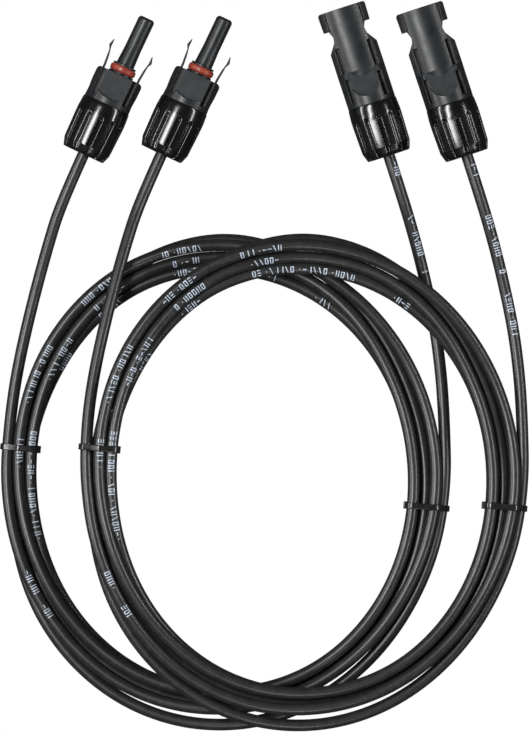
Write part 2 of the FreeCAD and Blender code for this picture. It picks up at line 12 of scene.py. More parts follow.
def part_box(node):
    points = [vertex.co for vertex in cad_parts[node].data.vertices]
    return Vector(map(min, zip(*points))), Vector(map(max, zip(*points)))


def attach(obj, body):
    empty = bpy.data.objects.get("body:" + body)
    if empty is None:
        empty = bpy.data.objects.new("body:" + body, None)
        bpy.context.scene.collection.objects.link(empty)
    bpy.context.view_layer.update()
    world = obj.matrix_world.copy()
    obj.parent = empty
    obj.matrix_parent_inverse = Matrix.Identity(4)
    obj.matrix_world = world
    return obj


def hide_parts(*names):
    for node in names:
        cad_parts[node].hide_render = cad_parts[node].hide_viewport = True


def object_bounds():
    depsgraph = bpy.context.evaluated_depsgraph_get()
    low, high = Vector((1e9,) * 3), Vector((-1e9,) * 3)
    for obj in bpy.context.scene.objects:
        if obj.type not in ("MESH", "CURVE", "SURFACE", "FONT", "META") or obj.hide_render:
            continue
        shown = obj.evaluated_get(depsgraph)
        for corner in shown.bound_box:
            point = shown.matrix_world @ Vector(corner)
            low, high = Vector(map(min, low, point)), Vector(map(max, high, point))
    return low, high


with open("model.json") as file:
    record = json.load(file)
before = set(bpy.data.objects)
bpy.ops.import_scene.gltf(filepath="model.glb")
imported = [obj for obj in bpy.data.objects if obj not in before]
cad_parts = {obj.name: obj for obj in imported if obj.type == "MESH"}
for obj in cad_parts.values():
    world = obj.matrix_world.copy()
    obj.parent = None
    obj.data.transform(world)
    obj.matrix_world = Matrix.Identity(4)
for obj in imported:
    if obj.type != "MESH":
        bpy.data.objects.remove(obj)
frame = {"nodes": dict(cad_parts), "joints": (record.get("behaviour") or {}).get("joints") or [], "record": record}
CAD_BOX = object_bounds()

MM = 0.001
UP = Vector((0, 0, 1))
JOINTS = {joint["name"]: joint for joint in frame["joints"]}
NODES = frame["nodes"]
LEADS = ("lower", "upper")
KINDS = ("socket", "pin")

# --- where things are, in metres -------------------------------------------------------------

NUT_TURN_INSET = 0.011  # the nut's turning joint is this far in from the nut's rear face
INSULATION_END = 0.0176  # and the cable's jacket ends this far in
CABLE_RADIUS = 0.0025
COIL_HALF_WIDTH = 0.0916  # of the outermost turn's centreline
COIL_HALF_LENGTH = 0.1017
UPPER_TILT = math.radians(5.7)
UPPER_RISE = 0.0129


def connector_frame(lead, kind):
    """A connector's own frame: X right, Y to its tip, Z up, from the middle of the nut's rear."""
    joint = JOINTS[f"{lead}_{kind}_nut_turn"]
    tip = -Vector(joint["axis"])
    rear = Vector(joint["pos_m"]) - tip * NUT_TURN_INSET
    right = tip.cross(UP)
    turned = Matrix((right, tip, UP)).transposed().to_4x4()
    return Matrix.Translation(rear) @ turned


def socket_rear(lead):
    return connector_frame(lead, "socket").translation


LEAD_PITCH = socket_rear("upper") - socket_rear("lower")  # from the lower lead to the upper one


def coil_frame(lead):
    """The frame of a lead's coil: origin on the coil's underside, at its middle."""
    low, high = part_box("lower_cable_coil")
    middle = Vector(((low.x + high.x) / 2, (low.y + high.y) / 2, 0))
    if lead == "lower":
        return Matrix.Translation(middle)
    tilted = Matrix.Rotation(UPPER_TILT, 4, "Y")
    return Matrix.Translation(middle + LEAD_PITCH + UP * UPPER_RISE) @ tilted


# --- the cables' routes -----------------------------------------------------------------------
# From each connector to the coil, in metres from the coil's middle: the points of the CAD tubes.
# The last ones of the socket routes are a little higher, to meet the turns that lie on others.

SOCKET_ROUTE = {
    "lower": [
        (-0.0685, 0.1195, 0.01075),
        (-0.0755, 0.0970, 0.0070),
        (-0.0823, 0.0715, 0.0036),
        (-0.0880, 0.0460, 0.0028),
        (-0.0910, 0.0240, 0.0044),
    ],
    "upper": [
        (-0.0682, 0.1202, 0.01075),
        (-0.0755, 0.0975, 0.0155),
        (-0.0823, 0.0715, 0.0198),
        (-0.0880, 0.0460, 0.0232),
        (-0.0910, 0.0240, 0.0262),
    ],
}
PIN_ROUTE = {
    "lower": [
        (0.0735, 0.1208, 0.01075),
        (0.0787, 0.1035, 0.0062),
        (0.0831, 0.0865, 0.0030),
        (0.0877, 0.0650, 0.0026),
        (0.0904, 0.0435, 0.00255),
        (0.0915, 0.0240, 0.0025),
    ],
    "upper": [
        (0.0735, 0.1208, 0.01075),
        (0.0792, 0.1015, 0.0080),
        (0.0837, 0.0835, 0.0056),
        (0.0880, 0.0630, 0.0049),
        (0.0904, 0.0435, 0.0055),
        (0.0915, 0.0240, 0.0062),
    ],
}
# How far inside the outermost ellipse the cable lies, in mm: a row for each turn, from the left
# side on, with a number every INWARD_STEP degrees.
INWARD = (
    [-0.2, 1.7, 3.8, 6.9, 7.4, 6.1, 3.5, 3.3, 3.4, 2.3, 0.7, 1.6]
    + [4.8, 8.0, 10.9, 13.6, 13.2, 12.9, 13.0, 12.3, 8.5, 7.3, 5.9, 7.2]
    + [9.7, 10.6, 12.0, 13.4, 12.8, 12.6, 12.8, 12.4, 12.7, 12.2, 9.6, 9.2]
    + [7.4, 4.6, 7.0, 8.5, 8.0, 7.8, 7.9, 7.6, 3.6, -0.4, 2.2, 3.8]
    + [2.6, -0.7, -1.3, 0.0, 1.5, 1.9, 0.3]
)
INWARD_STEP = 30
COIL_START = 180  # degrees round from the right-hand side
COIL_STEP = 15  # degrees between the control points
TURN_STEPS = 360 // COIL_STEP
SPLINE_SHRINK = 0.99146  # a quadratic spline runs this much inside points 15 degrees apart
STRAND_GAP = 0.0048  # centre to centre, where one turn rests on another
CABLE_SLOPE = 0.0017  # the most that the cable rises or falls from one control point to the next
SETTLING_PASSES = 6  # enough for every turn to come to rest on the others
TIE_ANGLES = {"left": 172, "right": 354}
TIE_LIFT = 0.0009  # how much a band under the strands raises them
TIE_LIFT_REACH = 14  # and how many degrees away from it that dies out


def inward(angle):
    """How far inside the outermost ellipse the cable is at this angle along the coil, in metres."""
    last = len(INWARD) - 1
    place = (angle - COIL_START) / INWARD_STEP
    step = min(int(place), last - 1)
    t = place - step
    before, a, b, after = (INWARD[min(max(step + k, 0), last)] for k in (-1, 0, 1, 2))
    bend = t * (b - before) + t * t * (2 * before - 5 * a + 4 * b - after)
    bend += t**3 * (3 * a - before - 3 * b + after)
    return (a + 0.5 * bend) * MM


def ground_level(angle):
    """The height of a strand that lies on nothing but the ground, or on a tie."""
    level = CABLE_RADIUS
    for tie in TIE_ANGLES.values():
        apart = (angle - tie + 180) % 360 - 180
        level += TIE_LIFT * math.exp(-((apart / TIE_LIFT_REACH) ** 2))
    return level


def strand_heights(angles, insets):
    """Each turn rests on those wound after it, and climbs onto them on a gentle slope."""
    heights = [ground_level(angle) for angle in angles]
    count = len(heights)
    for _ in range(SETTLING_PASSES):
        for i in reversed(range(count)):
            for j in range(i + TURN_STEPS, count, TURN_STEPS):
                apart = insets[i] - insets[j]
                if abs(apart) < STRAND_GAP:
                    rest = heights[j] + math.sqrt(STRAND_GAP**2 - apart**2)
                    heights[i] = max(heights[i], rest)
        for i in range(1, count):
            heights[i] = max(heights[i], heights[i - 1] - CABLE_SLOPE)
        for i in reversed(range(count - 1)):
            heights[i] = max(heights[i], heights[i + 1] - CABLE_SLOPE)
    return heights


def coil_points():
    """Control points of the coil's turns, in the coil's frame."""
    end = COIL_START + INWARD_STEP * (len(INWARD) - 1)
    angles = list(range(COIL_START, end + 1, COIL_STEP))
    insets = [inward(angle) for angle in angles]
    points = []
    for angle, inset, z in zip(angles, insets, strand_heights(angles, insets)):
        turn = math.radians(angle)
        x = (COIL_HALF_WIDTH - inset) / SPLINE_SHRINK * math.cos(turn)
        y = (COIL_HALF_LENGTH - inset) / SPLINE_SHRINK * math.sin(turn)
        points.append(Vector((x, y, z)))
    return points


def cable_points(lead):
    """Every control point of a lead's cable: socket connector, coil, pin connector."""
    flat = coil_frame("lower")
    if lead == "upper":
        flat = Matrix.Translation(LEAD_PITCH) @ flat
    turns = coil_frame(lead)
    start = connector_frame(lead, "socket") @ Vector((0, INSULATION_END, 0))
    end = connector_frame(lead, "pin") @ Vector((0, INSULATION_END, 0))
    return (
        [start]
        + [flat @ Vector(p) for p in SOCKET_ROUTE[lead]]
        + [turns @ p for p in coil_points()]
        + [flat @ Vector(p) for p in reversed(PIN_ROUTE[lead])]
        + [end]
    )


def spline_line(points):
    """The smooth line of a NURBS spline through these control points."""
    curve = bpy.data.curves.new("route", "CURVE")
    curve.dimensions = "3D"
    curve.resolution_u = 8
    spline = curve.splines.new("NURBS")
    spline.points.add(len(points) - 1)
    for point, place in zip(spline.points, points):
        point.co = (*place, 1)
    spline.order_u = 3
    spline.use_endpoint_u = True
    carrier = bpy.data.objects.new("route", curve)
    mesh = bpy.data.meshes.new_from_object(carrier)
    line = [v.co.copy() for v in mesh.vertices]
    bpy.data.meshes.remove(mesh)
    bpy.data.objects.remove(carrier)
    bpy.data.curves.remove(curve)
    return line


# --- mesh helpers -----------------------------------------------------------------------------


def new_object(name, mesh, material, body):
    """A visible piece of this mesh and material that moves with a body."""
    piece = bpy.data.objects.new(name, mesh)
    bpy.context.scene.collection.objects.link(piece)
    mesh.materials.append(material)
    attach(piece, body)
    return piece


def join_rings(work, rings):
    """Faces between each ring of vertices and the next, and from the last back to the first."""
    for a, b in zip(rings, rings[1:] + rings[:1]):
        for k in range(len(a)):
            n = (k + 1) % len(a)
            work.faces.new((a[k], a[n], b[n], b[k]))


def finish_mesh(name, work, smooth_faces=True):
    """The mesh that was built up in work, with its faces turned outwards."""
    bmesh.ops.recalc_face_normals(work, faces=work.faces)
    mesh = bpy.data.meshes.new(name)
    work.to_mesh(mesh)
    work.free()
    if smooth_faces:
        mesh.shade_smooth()
    return mesh


def cable_axes(line):
    """At each point of a line: the direction along it, a sideways one and one that faces up."""
    axes = []
    for i in range(len(line)):
        along = (line[min(i + 1, len(line) - 1)] - line[max(i - 1, 0)]).normalized()
        side = along.cross(UP).normalized()
        axes.append((along, side, side.cross(along)))
    return axes


def lengths(line):
    """How far along the line each point is."""
    run = [0.0]
    for a, b in zip(line, line[1:]):
        run.append(run[-1] + (b - a).length)
    return run


TUBE_SIDES = 24


def tube(name, line, radius):
    """A round jacket along a line, with its unrolled surface as UVs in metres."""
    work = bmesh.new()
    uv = work.loops.layers.uv.new("unrolled")
    run = lengths(line)
    rings = []
    for place, (_, side, top) in zip(line, cable_axes(line)):
        ring = []
        for k in range(TUBE_SIDES):
            turn = 2 * math.pi * k / TUBE_SIDES
            out = side * math.sin(turn) + top * math.cos(turn)
            ring.append(work.verts.new(place + out * radius))
        rings.append(ring)
    width = 2 * math.pi * radius
    for i in range(len(rings) - 1):
        for k in range(TUBE_SIDES):
            n = (k + 1) % TUBE_SIDES
            face = work.faces.new((rings[i][k], rings[i][n], rings[i + 1][n], rings[i + 1][k]))
            across = [k, k + 1, k + 1, k]
            down = [run[i], run[i], run[i + 1], run[i + 1]]
            for loop, a, v in zip(face.loops, across, down):
                loop[uv].uv = (a / TUBE_SIDES * width, v)
    work.faces.new(rings[0])
    work.faces.new(rings[-1])
    return finish_mesh(name, work)


# --- materials --------------------------------------------------------------------------------


NOISE_ENDS = (0.3, 0.7)  # nearly all of a noise texture lies between these


class Shader:
    """A Principled material with short ways to add noise to it."""

    def __init__(self, name, color, roughness, **values):
        self.material = bpy.data.materials.new(name)
        self.material.use_nodes = True
        self.nodes = self.material.node_tree.nodes
        self.links = self.material.node_tree.links
        self.shader = self.nodes["Principled BSDF"]
        self.shader.inputs["Base Color"].default_value = (*color, 1)
        self.shader.inputs["Roughness"].default_value = roughness
        for key, value in values.items():
            self.shader.inputs[key.replace("_", " ")].default_value = value
        self.bump_end = None

    def coordinates(self, stretch=(1, 1, 1), source="Object"):
        where = self.nodes.new("ShaderNodeTexCoord")
        mapping = self.nodes.new("ShaderNodeMapping")
        mapping.inputs["Scale"].default_value = stretch
        self.links.new(where.outputs[source], mapping.inputs["Vector"])
        return mapping.outputs["Vector"]

    def noise(self, scale, detail=3, stretch=(1, 1, 1), source="Object"):
        texture = self.nodes.new("ShaderNodeTexNoise")
        texture.inputs["Scale"].default_value = scale
        texture.inputs["Detail"].default_value = detail
        self.links.new(self.coordinates(stretch, source), texture.inputs["Vector"])
        return texture.outputs["Fac"]

    def vary_color(self, factor, low, high, ends=NOISE_ENDS):
        """Colour from low to high as the factor goes from one end to the other."""
        ramp = self.nodes.new("ShaderNodeValToRGB")
        for element, place, color in zip(ramp.color_ramp.elements, ends, (low, high)):
            element.position = place
            element.color = (*color, 1)
        self.links.new(factor, ramp.inputs["Fac"])
        self.links.new(ramp.outputs["Color"], self.shader.inputs["Base Color"])

    def vary_roughness(self, factor, low, high):
        span = self.nodes.new("ShaderNodeMapRange")
        span.inputs["From Min"].default_value, span.inputs["From Max"].default_value = NOISE_ENDS
        span.inputs["To Min"].default_value = low
        span.inputs["To Max"].default_value = high
        self.links.new(factor, span.inputs["Value"])
        self.links.new(span.outputs["Result"], self.shader.inputs["Roughness"])

    def round_edges(self, radius):
        """Edges catch the light as if they were rounded; comes before any bump."""
        node = self.nodes.new("ShaderNodeBevel")
        node.samples = 6
        node.inputs["Radius"].default_value = radius
        self.bump_end = node.outputs["Normal"]
        self.links.new(self.bump_end, self.shader.inputs["Normal"])

    def bump(self, factor, depth, strength=1.0):
        """Relief of this depth in metres; calls add up."""
        node = self.nodes.new("ShaderNodeBump")
        node.inputs["Strength"].default_value = strength
        node.inputs["Distance"].default_value = depth
        self.links.new(factor, node.inputs["Height"])
        if self.bump_end:
            self.links.new(self.bump_end, node.inputs["Normal"])
        self.bump_end = node.outputs["Normal"]
        self.links.new(self.bump_end, self.shader.inputs["Normal"])


def grey(value, tint=0.0):
    """A near-neutral dark tone; tint above 0 is bluish, below 0 brownish."""
    return (value * (1 - tint), value, value * (1 + tint))


def cable_jacket():
    """Extruded satin rubber: fine lengthwise draw lines, a soft mottle and a slight orange peel."""
    look = Shader("cable_jacket", grey(0.05), 0.4, Specular_IOR_Level=0.6)
    look.vary_color(look.noise(260, 4), grey(0.015, -0.02), grey(0.027, 0.02))
    look.vary_roughness(look.noise(700, 3), 0.3, 0.38)
    draw_lines = look.noise(1, 2, stretch=(2600, 60, 1), source="UV")
    look.bump(draw_lines, 0.00003, 0.35)
    look.bump(look.noise(2400, 2), 0.00002, 0.3)
    return look.material


def housing_plastic():
    """Moulded polymer with a fine spark-eroded texture, paler where it has been rubbed."""
    look = Shader("housing_plastic", grey(0.03, 0.04), 0.36)
    look.round_edges(0.0004)
    look.vary_color(look.noise(110, 4), grey(0.010, 0.16), grey(0.021, 0.12))
    look.vary_roughness(look.noise(260, 3), 0.32, 0.4)
    look.bump(look.noise(2600, 3), 0.00003, 0.4)
    return look.material


def nut_plastic():
    """Polished black polymer with a faint flow mottle."""
    look = Shader("nut_plastic", grey(0.01), 0.2, Coat_Weight=0.4, Coat_Roughness=0.14)
    look.vary_color(look.noise(150, 3), grey(0.003, 0.05), grey(0.007, 0.05))
    look.vary_roughness(look.noise(420, 3), 0.16, 0.22)
    look.bump(look.noise(900, 2), 0.000001, 0.2)
    return look.material


def cage_plastic():
    """Plain matt black polymer of the clamping cages."""
    look = Shader("cage_plastic", grey(0.03), 0.5)
    look.vary_color(look.noise(200, 3), grey(0.024), grey(0.04))
    look.bump(look.noise(2600, 2), 0.00002, 0.3)
    return look.material


def seal_rubber():
    """Red-orange silicone, a little waxy, with paler worn patches."""
    waxy = {"Subsurface_Weight": 0.08, "Subsurface_Scale": 0.001}
    look = Shader("seal_rubber", (0.34, 0.05, 0.03), 0.3, **waxy)
    look.vary_color(look.noise(300, 4), (0.27, 0.038, 0.024), (0.40, 0.065, 0.038))
    look.vary_roughness(look.noise(900, 2), 0.3, 0.45)
    look.bump(look.noise(2000, 2), 0.00002, 0.3)
    return look.material


def gland_rubber():
    """Dull black rubber of the sleeves on the cable."""
    look = Shader("gland_rubber", grey(0.04), 0.6)
    look.vary_color(look.noise(260, 3), grey(0.03), grey(0.05))
    look.bump(look.noise(1800, 3), 0.00003, 0.4)
    return look.material


def metal(name, color, roughness, streaks):
    """Turned and plated metal: fine tool marks round the part."""
    look = Shader(name, color, roughness, Metallic=1.0)
    look.vary_roughness(look.noise(streaks, 4), roughness * 0.8, roughness * 1.4)
    look.bump(look.noise(streaks * 3, 2), 0.00001, 0.3)
    return look.material


def tie_nylon():
    """Glossy black nylon with the fine cross ribs of a cable tie."""
    look = Shader("tie_nylon", grey(0.012), 0.2, Coat_Weight=0.2, Coat_Roughness=0.1)
    look.vary_color(look.noise(400, 3), grey(0.009), grey(0.018))
    look.vary_roughness(look.noise(600, 2), 0.16, 0.3)
    look.bump(look.noise(1500, 2), 0.00002, 0.3)
    return look.material


def print_ink():
    """Slightly worn bluish-white ink."""
    look = Shader("print_ink", (0.42, 0.5, 0.58), 0.5)
    look.vary_color(look.noise(1400, 4), (0.2, 0.25, 0.32), (0.62, 0.7, 0.82), ends=(0.32, 0.55))
    look.bump(look.noise(2500, 2), 0.00001, 0.3)
    return look.material


LOOKS = {
    "cable_jacket": cable_jacket(),
    "housing_plastic": housing_plastic(),
    "nut_plastic": nut_plastic(),
    "cage_plastic": cage_plastic(),
    "seal_rubber": seal_rubber(),
    "gland_rubber": gland_rubber(),
    "contact_metal": metal("contact_metal", (0.72, 0.72, 0.70), 0.22, 900),
    "louvre_metal": metal("louvre_metal", (0.75, 0.58, 0.26), 0.25, 1200),
    "copper_strands": metal("copper_strands", (0.72, 0.38, 0.22), 0.35, 1600),
    "tie_nylon": tie_nylon(),
    "print_ink": print_ink(),
}


CAD_EDGE_ANGLE = math.radians(28)


def dress_cad_nodes():
    """Every CAD node gets its slot's finish, and shades smooth except at its edges."""
    for part in frame["record"]["subparts"]:
        mesh = NODES[part["node"]].data
        mesh.materials.clear()
        mesh.materials.append(LOOKS[part["material_slot"]])
        mesh.shade_smooth()
        mesh.set_sharp_from_angle(angle=CAD_EDGE_ANGLE)


# --- union nuts ---------------------------------------------------------------------------------

# Lengths are in mm here.
FLUTES = 12
FLUTE_DEPTH = 1.2
FLUTE_WALL = (0.35, 1.15)  # the flute's side rises between these distances from its middle
FLUTE_END = (16.2, 17.5)  # and its floor rises to the shoulder between these, from the rear
FIRST_FLUTE = math.radians(4)
LAND_EDGE = 1.25  # from a flute's middle to the land beside it
LAND_MIDDLE = 2.78  # and to the middle of that land
LAND_END = (15.6, 17.5)  # the lands turn round again between these, from the rear
LAND_FLATNESS = {"socket": 0.12, "pin": 0.62}  # 0 is round, 1 is flat
ROUND_RADIUS = 10.6  # turns distances across a flute into angles
LAND_RADIUS = 10.7  # of the nut where its lands are
# Places across one flute and the land after it.
FLUTE_STEPS = (-2.2, -1.5, -LAND_EDGE, -1.05, -0.88, -0.7, -0.45, 0) + (
    0.45, 0.7, 0.88, 1.05, LAND_EDGE, 1.5, 2.2, LAND_MIDDLE,
)
NUT_EDGE_ANGLE = math.radians(50)
# (radius, distance from the rear face) of the nut: outside, from the rear face to the front,
NUT_OUTSIDE = [
    (8.6, 0), (9.0, 0.06), (9.25, 0.3), (9.75, 1.8), (10.22, 3.2), (10.38, 3.6), (10.44, 4.2),
    (10.58, 9), (10.75, 15), (10.75, 15.8), (10.75, 16.2), (10.75, 16.6), (10.75, 17),
    (10.75, 17.4), (10.75, 17.8), (10.72, 18.4), (10.55, 20.8), (10.42, 22.5), (10.3, 22.88),
    (10.0, 23),
]
# and inside, from the front face back to the cable's hole.
NUT_INSIDE = [
    (7.6, 23), (7.35, 22.8), (7.35, 9), (6.7, 9), (4.5, 2.6), (3.35, 2.6), (3.3, 2.5), (3.3, 0.25),
    (3.55, 0),
]


def ease(low, high, value):
    """0 below low, 1 above high, smooth between."""
    t = min(max((value - low) / (high - low), 0), 1)
    return t * t * (3 - 2 * t)


def flute_cut(across, along):
    """How deep the flute is, this far across from its middle and along from the rear."""
    wall = 1 - ease(*FLUTE_WALL, abs(across))
    end = 1 - ease(*FLUTE_END, along + 0.5 * across**2)
    return FLUTE_DEPTH * wall * end


def land_flat(kind, across, along):
    """How far the flattened land between two flutes lies inside the round outline."""
    edge = (LAND_MIDDLE - LAND_EDGE) / ROUND_RADIUS
    turn = min((LAND_MIDDLE - abs(across)) / ROUND_RADIUS, edge)
    flat = 1 - math.cos(edge) / math.cos(turn)
    return LAND_FLATNESS[kind] * LAND_RADIUS * flat * (1 - ease(*LAND_END, along))


def build_nut(lead, kind):
    """A fluted union nut with eased rims and a polished shoulder in front of its flutes."""
    work = bmesh.new()
    place = connector_frame(lead, kind)
    pitch = 2 * math.pi / FLUTES
    rings = []
    for rim, fluted in ((NUT_OUTSIDE, True), (NUT_INSIDE, False)):
        for radius, along in rim:
            ring = []
            for k in range(FLUTES):
                for across in FLUTE_STEPS:
                    turn = FIRST_FLUTE + pitch * k + across / ROUND_RADIUS
                    cut = 0
                    if fluted:
                        cut = flute_cut(across, along) + land_flat(kind, across, along)
                    r = (radius - cut) * MM
                    point = Vector((r * math.sin(turn), along * MM, r * math.cos(turn)))
                    ring.append(work.verts.new(place @ point))
            rings.append(ring)
    join_rings(work, rings)
    name = f"{lead}_{kind}_nut"
    mesh = finish_mesh(name, work)
    mesh.set_sharp_from_angle(angle=NUT_EDGE_ANGLE)
    piece = new_object(name, mesh, LOOKS["nut_plastic"], f"{lead}_{kind}_nut_body")
    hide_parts(f"{lead}_{kind}_cap_nut")


# --- the cables and their print -----------------------------------------------------------------


def build_cable(lead):
    """A lead's whole cable as one tube; returns the line along its middle."""
    line = spline_line(cable_points(lead))
    mesh = tube(f"{lead}_cable", line, CABLE_RADIUS)
    piece = new_object(f"{lead}_cable", mesh, LOOKS["cable_jacket"], f"{lead}_lead")
    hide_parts(f"{lead}_socket_end_cable", f"{lead}_pin_end_cable", f"{lead}_cable_coil")
    return line


# --- cable ties ---------------------------------------------------------------------------------

TIE_WIDTH = 0.0026
TIE_THICKNESS = 0.0008
TIE_GAP = 0.00003  # between the band and the cable
TIE_TURN = math.radians(-5)
TIE_MIDDLE = {"left": (-0.0860, 0.0144), "right": (0.0840, -0.0103)}  # from the coil's middle
TIE_REACH = 0.03  # strands further from the tie's middle than this are the coil's other side
BAND_STEPS = 72
HEAD_SIZE = (0.0022, 0.0031, 0.0032)
HEAD_INSET = 0.0002
HEAD_RISE = 0.0012  # above half the height of the strands
TAIL_SIZE = (0.0009, 0.0021, 0.0016)
TAIL_RISE = 0.0019  # above the head's middle
TIE_ROUNDING = 0.00028


def strands_under(lead, side, line):
    """The tie's own frame, and where the cable's strands cross its plane: (along the band, up)."""
    x, y = TIE_MIDDLE[side]
    turned = Matrix.Translation((x, y, 0)) @ Matrix.Rotation(TIE_TURN, 4, "Z")
    place = coil_frame(lead) @ turned
    home = place.inverted()
    local = [home @ p for p in line]
    found = []
    for a, b in zip(local, local[1:]):
        if (a.y > 0) != (b.y > 0) and abs(a.x) < TIE_REACH:
            t = a.y / (a.y - b.y)
            found.append((a.x + (b.x - a.x) * t, a.z + (b.z - a.z) * t))
    return place, found


def stretched_loop(strands, radius):
    """The line of a string pulled tight round circles of this radius at the strands."""
    loop = []
    for k in range(BAND_STEPS):
        turn = 2 * math.pi * k / BAND_STEPS
        out = (math.cos(turn), math.sin(turn))
        x, z = max(strands, key=lambda p: p[0] * out[0] + p[1] * out[1])
        loop.append((x + out[0] * radius, z + out[1] * radius))
    return loop


def add_block(work, place, size, at):
    """A box of this size round a point of the tie's own frame."""
    corners = bmesh.ops.create_cube(work, size=1)["verts"]
    moved = place @ Matrix.Translation(at) @ Matrix.Diagonal((*size, 1))
    bmesh.ops.transform(work, matrix=moved, verts=corners)


def build_tie(lead, side, line):
    """A nylon band pulled tight round the strands, with its locking head and cut tail."""
    place, strands = strands_under(lead, side, line)
    inner = stretched_loop(strands, CABLE_RADIUS + TIE_GAP)
    outer = stretched_loop(strands, CABLE_RADIUS + TIE_THICKNESS)
    half = TIE_WIDTH / 2
    work = bmesh.new()
    rings = []
    for (x, z), (far_x, far_z) in zip(inner, outer):
        section = ((x, -half, z), (far_x, -half, far_z), (far_x, half, far_z), (x, half, z))
        rings.append([work.verts.new(place @ Vector(corner)) for corner in section])
    join_rings(work, rings)
    inward_sign = 1 if side == "left" else -1
    end = max(inner, key=lambda p: p[0] * inward_sign)[0]
    top = max(z for _, z in strands)
    head_at = Vector((end + inward_sign * HEAD_INSET, 0, top * 0.5 + HEAD_RISE))
    add_block(work, place, HEAD_SIZE, head_at)
    add_block(work, place, TAIL_SIZE, head_at + Vector((0, 0, TAIL_RISE)))
    name = f"{lead}_{side}_band"
    piece = new_object(name, finish_mesh(name, work), LOOKS["tie_nylon"], f"{lead}_lead")
    rounding = piece.modifiers.new("eased edges", "BEVEL")
    rounding.width = TIE_ROUNDING
    rounding.segments = 3
    rounding.limit_method = "ANGLE"
    rounding.angle_limit = math.radians(50)
    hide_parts(f"{lead}_{side}_tie")


# --- the print on the cable ---------------------------------------------------------------------

STROKE = 0.00042  # the width of a line of ink
STROKE_STEPS = 4  # faces across a stroke, round the cable
PRINT_RAISE = 0.00003
GLYPH_PITCH = 0.0022
GLYPH_WIDTH = 0.0015
GLYPH_HEIGHT = 0.0027  # across the cable
DOT_PITCH = 1.4 * GLYPH_PITCH
# Each run of marks in the coil: turn, first and last angle, and how far it is rolled from the
# cable's top towards the coil's middle, in degrees.
COIL_PRINT = [
    (0, 120, 133, 12), (0, 144, 160, 12), (0, 168, 178, 10), (0, 200, 208, 8), (0, 211, 216, 8),
    (1, 120, 130, 10), (1, 140, 155, 14), (1, 165, 195, 4), (2, 122, 131, 24), (2, 142, 150, 24),
    (2, 75, 108, 10), (2, 55, 63, 14), (3, 180, 195, -40), (0, 95, 108, 20), (1, 97, 106, 16),
]
# and on the stretch below each pin connector: from and to, in metres from the nut, and the roll.
FREE_PRINT = [(0.004, 0.009, -34), (0.026, 0.044, -22), (0.050, 0.0515, -18), (0.060, 0.078, -14)]
PRINT_SEED = {"lower": 11, "upper": 12}
WORD_MARKS = ("bar", "bars", "box", "slash", "dash", "ladder", "box", "bars")


def glyph(kind):
    """The strokes of a mark that stands for nothing, as corners (along, across) from 0 to 1."""
    w, h = STROKE / GLYPH_WIDTH, STROKE / GLYPH_HEIGHT
    bar = [(0, 0), (w, 0), (w, 1), (0, 1)]
    far_bar = [(1 - w, 0), (1, 0), (1, 1), (1 - w, 1)]
    near = [(0, 0), (1, 0), (1, h), (0, h)]
    far = [(0, 1 - h), (1, 1 - h), (1, 1), (0, 1)]
    middle = [(0, 0.5 - h / 2), (1, 0.5 - h / 2), (1, 0.5 + h / 2), (0, 0.5 + h / 2)]
    slash = [(0, 0), (w, 0), (1, 1), (1 - w, 1)]
    dot = [(0.3, 0.42), (0.3 + w, 0.42), (0.3 + w, 0.42 + h), (0.3, 0.42 + h)]
    marks = {
        "bar": [bar],
        "bars": [bar, far_bar],
        "box": [bar, far_bar, near, far],
        "slash": [slash],
        "dot": [dot],
        "dash": [middle],
        "ladder": [near, middle, far],
    }
    return marks[kind]


def point_on_cable(line, axes, run, along, roll, radius):
    """The place on the jacket this far along the cable, rolled by this angle from its top."""
    low, high = 0, len(run) - 1
    while high - low > 1:
        mid = (low + high) // 2
        if run[mid] <= along:
            low = mid
        else:
            high = mid
    t = (along - run[low]) / (run[high] - run[low])
    centre = line[low].lerp(line[high], t)
    side = axes[low][1].lerp(axes[high][1], t).normalized()
    top = axes[low][2].lerp(axes[high][2], t).normalized()
    return centre + (side * math.sin(roll) + top * math.cos(roll)) * radius


def add_stroke(work, cable, corners, start, roll):
    """A thin raised patch of ink between four corners, bent round the cable."""
    grid = {}
    a, b, c, d = corners
    levels = (CABLE_RADIUS - PRINT_RAISE, CABLE_RADIUS + PRINT_RAISE)
    for i, (near, far) in enumerate(((a, d), (b, c))):
        for j in range(STROKE_STEPS + 1):
            v = j / STROKE_STEPS
            along = near[0] * (1 - v) + far[0] * v
            across = near[1] * (1 - v) + far[1] * v
            angle = roll + (across - 0.5) * GLYPH_HEIGHT / CABLE_RADIUS
            for level, radius in enumerate(levels):
                place = point_on_cable(*cable, start + along * GLYPH_WIDTH, angle, radius)
                grid[i, j, level] = work.verts.new(place)
    for j in range(STROKE_STEPS):
        for level in (0, 1):
            patch = ((0, j), (1, j), (1, j + 1), (0, j + 1))
            work.faces.new([grid[p, q, level] for p, q in patch])
    rim = [(0, 0)] + [(1, j) for j in range(STROKE_STEPS + 1)]
    rim += [(0, j) for j in range(STROKE_STEPS, 0, -1)]
    for (i, j), (p, q) in zip(rim, rim[1:] + rim[:1]):
        work.faces.new((grid[i, j, 0], grid[p, q, 0], grid[p, q, 1], grid[i, j, 1]))


def wound_angles(lead, line):
    """The angle wound round the coil at each point of the line, in degrees, from COIL_START on."""
    home = coil_frame(lead).inverted()
    angles = []
    for point in line:
        p = home @ point
        angle = math.degrees(math.atan2(p.y / COIL_HALF_LENGTH, p.x / COIL_HALF_WIDTH))
        if angles:
            angle += 360 * round((angles[-1] - angle) / 360)
        else:
            angle %= 360
        angles.append(angle)
    return angles


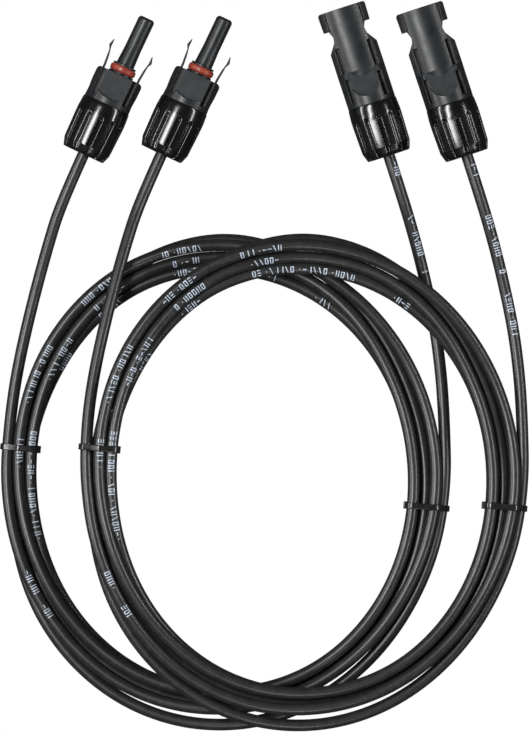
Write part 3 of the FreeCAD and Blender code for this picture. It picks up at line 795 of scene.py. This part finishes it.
def print_runs(lead, line, run):
    """Every run of marks as (from, to, roll), along the whole cable."""
    wound = wound_angles(lead, line)
    runs = []
    for turn, first, last, roll in COIL_PRINT:
        start = COIL_START + (first - COIL_START) % 360 + 360 * turn
        stop = start + last - first
        inside = [r for r, angle in zip(run, wound) if start <= angle <= stop]
        runs.append((min(inside), max(inside), -math.radians(roll)))
    outside = run[-1] - INSULATION_END
    for first, last, roll in FREE_PRINT:
        runs.append((outside - last, outside - first, -math.radians(roll)))
    return runs


def build_print(lead, line):
    """Word-like groups of made-up marks along the jacket, as raised ink."""
    chance = random.Random(PRINT_SEED[lead])
    run = lengths(line)
    cable = (line, cable_axes(line), run)
    work = bmesh.new()
    for first, last, roll in print_runs(lead, line, run):
        at, word = first, chance.randint(3, 5)
        while at < last:
            kind = chance.choice(WORD_MARKS) if word else "dot"
            for corners in glyph(kind):
                add_stroke(work, cable, corners, at, roll)
            at += GLYPH_PITCH if word else DOT_PITCH
            word = word - 1 if word else chance.randint(3, 6)
    mesh = finish_mesh(f"{lead}_print", work, smooth_faces=False)
    new_object(f"{lead}_print", mesh, LOOKS["print_ink"], f"{lead}_lead")


# --- the stage ----------------------------------------------------------------------------------

VIEW_HEIGHT = 0.3074  # what the picture shows from top to bottom, in metres
CAMERA_DISTANCE = 6
SENSOR = 36  # mm
FLOOR_SIZE = 3
FLOOR_DROP = 0.0002  # keeps the floor clear of the lowest band
WORLD_STRENGTH = 0.05
# Each light: its place, the point that it faces, its own width and height, and watts.
LIGHTS = {
    "key": ((-3.1, 0.4, 7.5), (0, -0.1, 0), (4.2, 1.6), 450),
    "front": ((0.3, -1.6, 1.9), (0, 0, 0), (0.5, 0.35), 7),
    "left strip": ((-2.6, 0.0, 1.5), (0, -0.1, 0), (2.4, 0.25), 40),
    "right strip": ((2.6, 0.0, 1.7), (0, -0.1, 0), (2.4, 0.25), 44),
}


def look_from_above():
    """The camera straight over the middle of the leads; returns that middle."""
    low, high = CAD_BOX
    middle = (Vector(low) + Vector(high)) / 2
    camera = bpy.data.cameras.new("camera")
    camera.sensor_width = SENSOR
    camera.lens = SENSOR * CAMERA_DISTANCE / VIEW_HEIGHT
    carrier = bpy.data.objects.new("camera", camera)
    carrier.location = (middle.x, middle.y, CAMERA_DISTANCE)
    bpy.context.scene.collection.objects.link(carrier)
    bpy.context.scene.camera = carrier
    return middle


def softbox(name, place, aim, size, power):
    light = bpy.data.lights.new(name, "AREA")
    light.shape = "RECTANGLE"
    light.size, light.size_y = size
    light.energy = power
    carrier = bpy.data.objects.new(name, light)
    carrier.location = place
    carrier.rotation_euler = (Vector(aim) - Vector(place)).to_track_quat("-Z", "Y").to_euler()
    bpy.context.scene.collection.objects.link(carrier)


def white_floor(middle):
    """A floor that shows white but lights and mirrors nothing."""
    work = bmesh.new()
    bmesh.ops.create_grid(work, x_segments=1, y_segments=1, size=FLOOR_SIZE)
    mesh = bpy.data.meshes.new("floor")
    work.to_mesh(mesh)
    work.free()
    floor = bpy.data.objects.new("floor", mesh)
    floor.location = (middle.x, middle.y, -FLOOR_DROP)
    bpy.context.scene.collection.objects.link(floor)
    look = Shader("floor", (0, 0, 0), 1.0, Specular_IOR_Level=0.0)
    look.shader.inputs["Emission Color"].default_value = (1, 1, 1, 1)
    look.shader.inputs["Emission Strength"].default_value = 1.0
    mesh.materials.append(look.material)
    floor.visible_diffuse = False
    floor.visible_glossy = False


def light_scene():
    """A dim studio with softboxes above and on both sides."""
    world = bpy.data.worlds.new("studio")
    bpy.context.scene.world = world
    world.use_nodes = True
    background = world.node_tree.nodes["Background"]
    background.inputs["Color"].default_value = (1, 1, 1, 1)
    background.inputs["Strength"].default_value = WORLD_STRENGTH
    for name, (place, aim, size, power) in LIGHTS.items():
        softbox(name, place, aim, size, power)
    bpy.context.scene.view_settings.view_transform = "Standard"


dress_cad_nodes()
for lead in LEADS:
    cable_line = build_cable(lead)
    build_print(lead, cable_line)
    for tie_side in TIE_ANGLES:
        build_tie(lead, tie_side, cable_line)
    for connector in KINDS:
        build_nut(lead, connector)
centre = look_from_above()
white_floor(centre)
light_scene()
